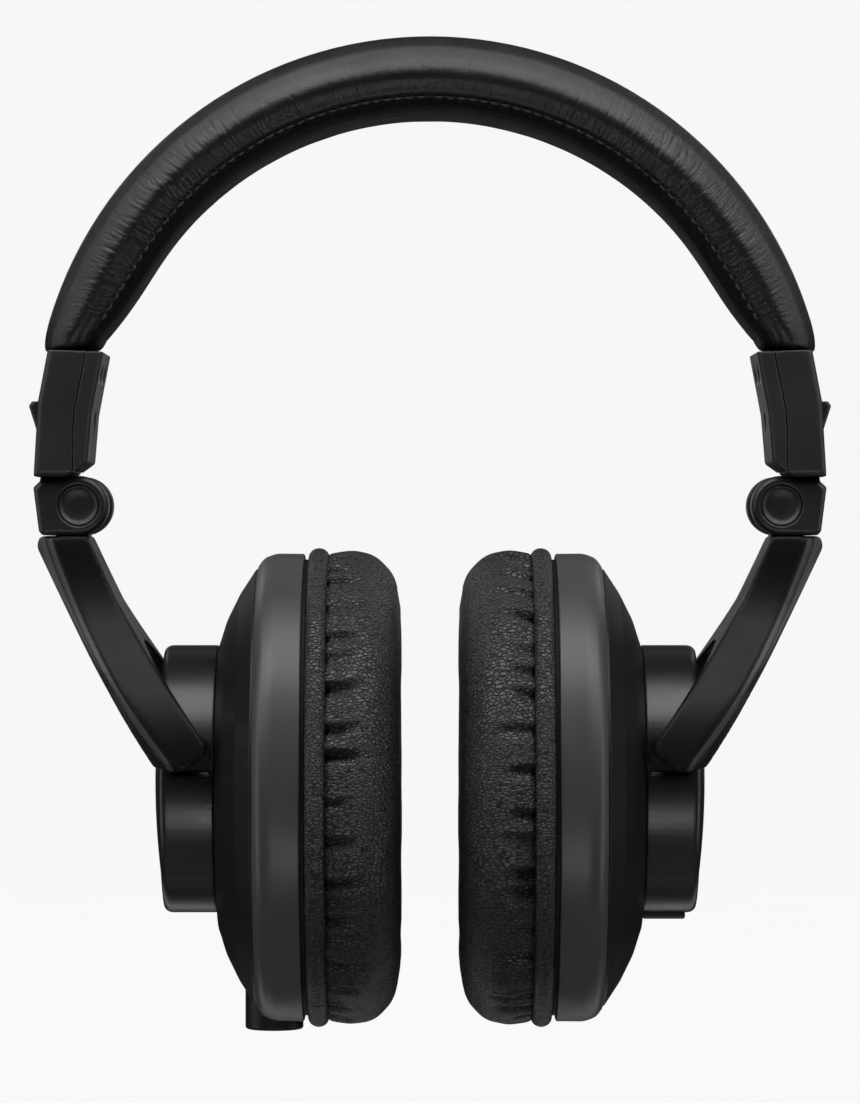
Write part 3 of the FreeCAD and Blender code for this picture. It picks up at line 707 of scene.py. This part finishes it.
def pad_profile():
    """Half section of the cushion: (x, radius) from the opening over the face to the seam."""
    face = PAD_FACE
    corners = [(21.6, 27.2, 0), (20.6, 26.6, 1), (face + 4.5, 27.0, 3.0), (face + 0.6, 30.2, 4.5),
               (face, 35.5, 6.0), (face + 1.2, 42.3, 7.5), (face + 5.2, 46.5, 7.0),
               (face + 9.6, 47.35, 8.0), (19.8, 46.6, 1.5), (20.7, 45.7, 0.5), (21.6, 45.4, 0)]
    outline = rounded_open(corners, 10)
    return resample(outline, 92)


def around_axis(turn, bumps, level):
    """Noise that closes on itself round a ring, finer with more bumps."""
    return noise.noise(Vector((math.cos(turn) * bumps, math.sin(turn) * bumps, level)))


def rim_relief(point, turn, folds):
    """How far the rim of the cushion stands out: swellings, gathers and fine creases."""
    from_seam = SEAM_X - point.x
    out = 0.28 * around_axis(turn, 6, point.x * 0.13) * min(1, max(0, from_seam / 3))
    for gap, depth, width, reach in folds:
        drift = gap + 0.8 * noise.noise(Vector((from_seam * 0.25, depth * 9, width * 7)))
        fade = min(1.0, max(0.0, 1 - from_seam / reach) * 1.5)
        fade = fade * fade * (3 - 2 * fade)
        grow = width * (1.15 if drift < 0 else 0.55)
        out -= depth * fade * math.exp(-(drift / grow) ** 2)
        out += 0.18 * depth * fade * math.exp(-((drift - 1.4) / 0.8) ** 2)
    fine = around_axis(turn, 42, point.x * 0.18)
    return out - 0.16 * ridges(fine, 0.25) * max(0.0, 1 - max(0, from_seam) / 7)


def face_relief(point, turn):
    """How far the face of the cushion stands out, with creases inside its opening."""
    out = 0.18 * around_axis(turn, 4, point.y * 0.1)
    if point.y < OPENING_TO:
        fine = around_axis(turn, 26, point.x * 0.12)
        out -= 0.35 * ridges(fine, 0.3) * min(1, max(0, (point.x - 9) / 6))
    return out


def cushion(side):
    """A stuffed ring of leather, gathered into its piping all the way round."""
    profile = pad_profile()
    folds = pleats(PLEAT_SEED + side)
    normals = []
    for i in range(len(profile)):
        onward = profile[min(i + 1, len(profile) - 1)] - profile[max(i - 1, 0)]
        normals.append(Vector((onward.y, -onward.x)).normalized() * -1)
    rows = []
    for i in range(RING_STEPS):
        angle = 360 * i / RING_STEPS
        turn = math.radians(angle)
        near = []
        for place, depth, width, reach in folds:
            gap = (angle - place + 180) % 360 - 180
            if abs(gap) < 8:
                near.append((gap * math.radians(1) * 46, depth, width, reach))
        row = []
        for point, normal in zip(profile, normals):
            out = rim_relief(point, turn, near) if point.y > RIM_FROM else face_relief(point, turn)
            radius = point.y + out * normal.y
            x = max(PAD_FACE, point.x + out * normal.x)
            row.append((side * x, radius * math.sin(turn), CUP_Z + radius * math.cos(turn)))
        rows.append(row)
    return from_grid("ear_cushion_" + WORDS[side], rows, wrap_rows=True,
                     wrap_columns=False)


def cushion_back(side):
    """The cloth-backed skirt of the cushion, closed against its mounting ring."""
    corners = [(21.4, 27.4, 0.2), (21.4, 45.8, 0.2), (PAD_BACK - 1.5, 45.8, 0.3),
               (PAD_BACK - 1.5, 28.4, 0.3)]
    return lathe("ear_skirt_" + WORDS[side], corners, CUP_Z, side)


def piping(side):
    """The leather welt between the cushion and the cup."""
    middle_x, middle_r, tube = 22.15, PIPING_RAD - 1.75, 1.72
    phase = random.Random(PLEAT_SEED * 3 + side).uniform(0, 100)
    rows = []
    for i in range(RING_STEPS):
        turn = 2 * math.pi * i / RING_STEPS
        wobble = around_axis(turn, 22, phase)
        crease = ridges(around_axis(turn, 30, phase + 4), 0.15)
        row = []
        for j in range(28):
            around = 2 * math.pi * j / 28
            size = tube * (1 - 0.05 * max(0, wobble) - 0.05 * crease)
            wide = size * 1.17 * math.cos(around)
            tall = size * math.sin(around)
            radius = middle_r + tall
            row.append((side * (middle_x + wide), radius * math.sin(turn),
                        CUP_Z + radius * math.cos(turn)))
        rows.append(row)
    return from_grid("ear_piping_" + WORDS[side], rows, wrap_rows=True)


def ear_cushions():
    for word, side in SIDES.items():
        body = "cup_" + word
        leather_ring = stand_in(cushion(side), body, "pad_leather", "leather", "ear_pad_" + word)
        welt = dressed(piping(side), body, "pad_leather")
        dressed(cushion_back(side), body, "pad_leather")


def dressed(piece, body, look):
    """A Blender piece that adds to a body without replacing a CAD node."""
    dress(piece, look)
    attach(piece, body)
    return piece


# ---------------------------------------------------------------- hard parts
def cup_lathes():
    """The grey ring and the dark domed shell of each cup."""
    for word, side in SIDES.items():
        body = "cup_" + word
        ring = [(RING_IN, 44.2, 0.2), (RING_IN, RING_RAD - 0.05, 0.4),
                (RING_OUT - 3.6, RING_RAD, 5.0), (RING_OUT - 1.2, RING_RAD - 0.85, 3.0),
                (RING_OUT, RING_RAD - 2.5, 1.5), (RING_OUT + 0.05, 43.85, 0.15),
                (RING_OUT - 1.6, 43.2, 0.2)]
        stand_in(lathe("outer_ring_" + word, ring, CUP_Z, side, steps=10), body, "ring_plastic",
                 "ring_plastic", "cup_ring_" + word)
        shell = [(RING_OUT - 0.9, 43.0, 0.1), (RING_OUT - 0.05, 43.7, 0.15), (34.7, 43.5, 0.3),
                 (37.8, 38.75, 12), (40.4, 33.5, 12), (41.5, 30.0, 5), (42.0, 28.5, 1),
                 (42.0, 24.0, 0.2), (39.6, 24.0, 0.2), (39.2, 30.0, 4), (36.4, 38.0, 6)]
        stand_in(lathe("dome_" + word, shell, CUP_Z, side, steps=8), body, "shell_plastic",
                 "shell_plastic", "back_shell_" + word)


BUTTON_SIDES = 96


def hinge_buttons():
    """The dished buttons that cover both ends of each fold pin."""
    low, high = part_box("hinge_caps_right")
    radius, face = (high[0] - low[0]) / 2 / MM, high[1] / MM
    outline = rounded_open([(face - 0.9, 0.0, 0), (face - 0.9, radius, 0.1),
                            (face + 0.08, radius + 0.16, 0.15), (face + 0.08, radius - 0.14, 0.15),
                            (face - 0.42, radius * 0.79, 2), (face - 0.70, radius * 0.45, 4),
                            (face - 0.76, 0.0, 0)], 8)
    for word, side in SIDES.items():
        parts = []
        for way in (-1, 1):
            rows = []
            for i in range(BUTTON_SIDES):
                turn = 2 * math.pi * i / BUTTON_SIDES
                rows.append([(side * PIN_X + p.y * math.cos(turn), way * p.x,
                              PIN_Z + p.y * math.sin(turn)) for p in outline])
            count = len(outline)
            verts = [v for row in rows for v in row]
            faces = []
            for i in range(BUTTON_SIDES):
                here, beside = i * count, (i + 1) % BUTTON_SIDES * count
                faces += [(here + j, here + j + 1, beside + j + 1, beside + j)
                          for j in range(count - 1)]
            parts.append((verts, faces))
        piece = many("knuckle_buttons_" + word, parts)
        weld(piece)
        stand_in(piece, "slider_" + word, "satin_plastic", "satin_plastic", "hinge_caps_" + word)


MOULDED = {
    # node prefix: (new name, body prefix, look, slot, voxel, smoothing passes)
    "yoke": ("fork", "yoke", "fork_plastic", "satin_plastic", 0.38, 8),
    "hinge_block": ("knuckle", "slider", "satin_plastic", "satin_plastic", 0.26, 6),
    "sleeve_outer": ("sleeve_cover", "arm", "sleeve_plastic", "sleeve_plastic", 0.26, 4),
    "sleeve_inner": ("sleeve_liner", "arm", "sleeve_plastic", "sleeve_plastic", 0.26, 4),
    "drum_housing": ("drum", "cup", "drum_plastic", "shell_plastic", 0.30, 5),
    "side_marker": ("side_tab", "arm", "satin_plastic", "satin_plastic", 0.14, 4),
}


def face_edges(node, side):
    """Heights on a yoke, with the outer edge and the front of its raised face at each."""
    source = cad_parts[node].data
    tree = BVHTree.FromPolygons([v.co for v in source.vertices],
                                [tuple(p.vertices) for p in source.polygons])
    heights, edges, fronts = np.arange(-130.0, -84.5, 0.5), [], []
    for z in heights:
        hits = []
        for x in np.arange(44.0, 79.0, 0.1):
            hit = tree.ray_cast(Vector((side * x, -60, z)) * MM, Vector((0, 1, 0)))[0]
            if hit:
                hits.append((x, -hit.y / MM))
        front = max(y for _, y in hits)
        fronts.append(front)
        edges.append(max(x for x, y in hits if y > front - 0.5))
    edges = np.convolve(np.pad(edges, 5, mode="edge"), np.full(11, 1 / 11), "valid")
    return heights, edges, fronts


STRIP_FROM, STRIP_FULL = -114, -104      # heights between which the painted highlight on the strip's outer band fades in


def bevelled(piece, node, side):
    """Slopes the strip beside the raised face of a yoke back towards the outer edge, and marks
    on the mesh how far each point is beyond the face."""
    heights, edges, fronts = face_edges(node, side)
    work = bmesh.new()
    work.from_mesh(piece.data)
    strip = work.verts.layers.float.new("strip")
    near = []
    for vertex in work.verts:
        x, y, z = vertex.co.x * side / MM, vertex.co.y / MM, vertex.co.z / MM
        beyond = x - np.interp(z, heights, edges)
        if beyond > -1.2:
            slope = min(2.6, max(0.0, STRIP_LIP + STRIP_SLOPE * beyond))
            limit = np.interp(z, heights, fronts) - slope
            near.append(vertex)
            if abs(y) > limit:
                vertex.co.y = math.copysign(limit * MM, y)
        # Lower down, the outer band's mark falls back to the bevel's edge, so its painted highlight
        # fades out where that side is in shade.
        fade = min(1, max(0, (z - STRIP_FROM) / (STRIP_FULL - STRIP_FROM)))
        vertex[strip] = max(0, beyond if beyond < BEVEL else BEVEL + fade * (beyond - BEVEL))
    for _ in range(12):
        bmesh.ops.smooth_vert(work, verts=near, factor=0.5, use_axis_x=True, use_axis_y=True,
                              use_axis_z=True)
    work.to_mesh(piece.data)
    work.free()


def moulded_parts():
    """Softened copies of the moulded CAD pieces, each on its own body."""
    for word in SIDES:
        for node, (name, body, look, slot, voxel, passes) in MOULDED.items():
            piece = moulded(f"{name}_{word}", f"{node}_{word}", voxel, passes)
            stand_in(piece, f"{body}_{word}", look, slot, f"{node}_{word}")
            if node == "yoke":
                bevelled(piece, f"yoke_{word}", SIDES[word])


CAD_LOOKS = {
    "sleeve_screw": "dark_metal", "band_rivets": "pin_steel", "detent_spring": "spring_steel",
    "slider_strip": "spring_steel", "hinge_pin": "pin_steel", "pivot_pins": "dark_metal",
    "drum_cap": "drum_plastic", "baffle": "inner_plastic", "baffle_screws": "dark_metal",
    "driver_frame": "inner_plastic", "driver_magnet": "dark_metal", "driver_dome": "diaphragm",
    "dust_cloth": "cloth", "pad_ring": "inner_plastic", "cable_socket": "shell_plastic",
    "socket_barrel": "contact_metal", "port_lip": "drum_plastic",
    "yoke": "satin_plastic", "hinge_block": "satin_plastic", "sleeve_outer": "sleeve_plastic",
    "sleeve_inner": "sleeve_plastic", "drum_housing": "drum_plastic",
    "hinge_caps": "satin_plastic", "side_marker": "satin_plastic", "cup_ring": "ring_plastic",
    "back_shell": "shell_plastic", "ear_pad": "pad_leather", "headband_pad": "leather",
    "spring_band": "spring_steel",
}


def cad_materials():
    """Gives every CAD node its material, also where a Blender piece replaces it."""
    for name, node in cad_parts.items():
        stem = name.removesuffix("_left").removesuffix("_right")
        for place in node.material_slots:
            place.material = LOOKS[CAD_LOOKS[stem]]
        if not node.material_slots:
            node.data.materials.append(LOOKS[CAD_LOOKS[stem]])


# ---------------------------------------------------------------- studio
def area(name, place, aim, width, height, power):
    lamp = bpy.data.lights.new(name, "AREA")
    lamp.shape = "RECTANGLE"
    lamp.size, lamp.size_y, lamp.energy = width, height, power
    light = bpy.data.objects.new(name, lamp)
    bpy.context.scene.collection.objects.link(light)
    light.location = place
    light.rotation_euler = (Vector(aim) - Vector(place)).to_track_quat("-Z", "Y").to_euler()
    return light


CAMERA_AWAY, CAMERA_HEIGHT, LENS = 1.0, -0.0875, 163.2
FLOOR_Z = -0.216                         # clear of the cups with both arms pulled out
BOWL_REACH, BOWL_BEND, BOWL_TOP = 5.0, 1.5, 6.0
PAPER_SHADES = (0.921, 0.932)
LIT_POINT = (0, 0, -0.09)
LIGHTS = {
    # name: (azimuth to the right of the camera, elevation, distance, width, height, brightness)
    "top_box": (0, 70, 1.0, 1.3, 0.62, 4.6), "low_strip": (0, -33, 1.2, 1.0, 0.28, 3.6),
    "top_left": (-62.6, 41.6, 1.0, 0.5, 0.7, 3.3), "top_right": (62.6, 41.6, 1.0, 0.5, 0.7, 3.3),
    "low_left": (-77, -28, 1.2, 0.35, 0.4, 1.5), "low_right": (77, -28, 1.2, 0.35, 0.4, 1.5),
    "low_fill": (0, -82, 1.0, 1.4, 0.9, 0.26), "back_card": (180, 3, 0.9, 0.5, 0.25, 0.5),
    "floor_glow": (0, 222, 1.1, 1.6, 0.3, 0.8), "rear_top": (0, 142, 1.1, 1.4, 0.4, 0.15),
    "rear_left": (-142, 28, 1.2, 0.5, 0.5, 1.1), "rear_right": (142, 28, 1.2, 0.5, 0.5, 1.1),
    "side_left": (-84, 3, 1.25, 0.5, 1.3, 1.7), "side_right": (84, 3, 1.25, 0.5, 1.3, 1.7),
}


def look_from_the_front():
    """The camera level with the middle of the headphones, as the photograph was taken."""
    view = bpy.data.cameras.new("camera")
    view.lens, view.sensor_width, view.sensor_fit = LENS, 36, "AUTO"
    camera = bpy.data.objects.new("camera", view)
    bpy.context.scene.collection.objects.link(camera)
    camera.location = (0, -CAMERA_AWAY, CAMERA_HEIGHT)
    camera.rotation_euler = (math.pi / 2, 0, 0)
    bpy.context.scene.camera = camera


def paper_bowl():
    """A plain pale floor that curves up into walls all round; it lights nothing."""
    outline = [(1e-5, FLOOR_Z), (0.3, FLOOR_Z), (BOWL_REACH, FLOOR_Z)]
    outline += [(BOWL_REACH + BOWL_BEND * math.sin(t), FLOOR_Z + BOWL_BEND * (1 - math.cos(t)))
                for t in np.linspace(0, math.pi / 2, 24)[1:]]
    outline.append((BOWL_REACH + BOWL_BEND, BOWL_TOP))
    rows = [[(r * math.cos(t) / MM, r * math.sin(t) / MM, z / MM) for r, z in outline]
            for t in np.linspace(0, 2 * math.pi, 97)[:-1]]
    floor = from_grid("studio_bowl", rows, wrap_rows=True, wrap_columns=False)
    material, tree, shader = nodes_for("studio_paper")
    grain = noisy(tree, local(tree, (0.02, 0.02, 0.02)), 1.0, 4)
    shader.inputs["Base Color"].default_value = (0.02, 0.02, 0.02, 1)
    shader.inputs["Roughness"].default_value = 1
    shader.inputs["Specular IOR Level"].default_value = 0
    tree.links.new(between(tree, grain, *[(shade,) * 3 for shade in PAPER_SHADES]),
                   shader.inputs["Emission Color"])
    shader.inputs["Emission Strength"].default_value = 1
    floor.data.materials.append(material)
    floor.visible_diffuse = floor.visible_glossy = floor.visible_shadow = False


def studio():
    look_from_the_front()
    paper_bowl()
    world = bpy.data.worlds.new("studio_air")
    world.use_nodes = True
    world.node_tree.nodes["Background"].inputs["Color"].default_value = (1, 1, 1, 1)
    world.node_tree.nodes["Background"].inputs["Strength"].default_value = 0.012
    bpy.context.scene.world = world
    for name, (azimuth, rise, away, width, height, bright) in LIGHTS.items():
        a, e = math.radians(azimuth), math.radians(rise)
        place = Vector(LIT_POINT) + away * Vector((math.sin(a) * math.cos(e),
                                                   -math.cos(a) * math.cos(e), math.sin(e)))
        area(name, place, LIT_POINT, width, height, math.pi * width * height * bright)
    bpy.context.scene.view_settings.view_transform = "Standard"


cad_materials()
headband()
ear_cushions()
cup_lathes()
hinge_buttons()
moulded_parts()
studio()
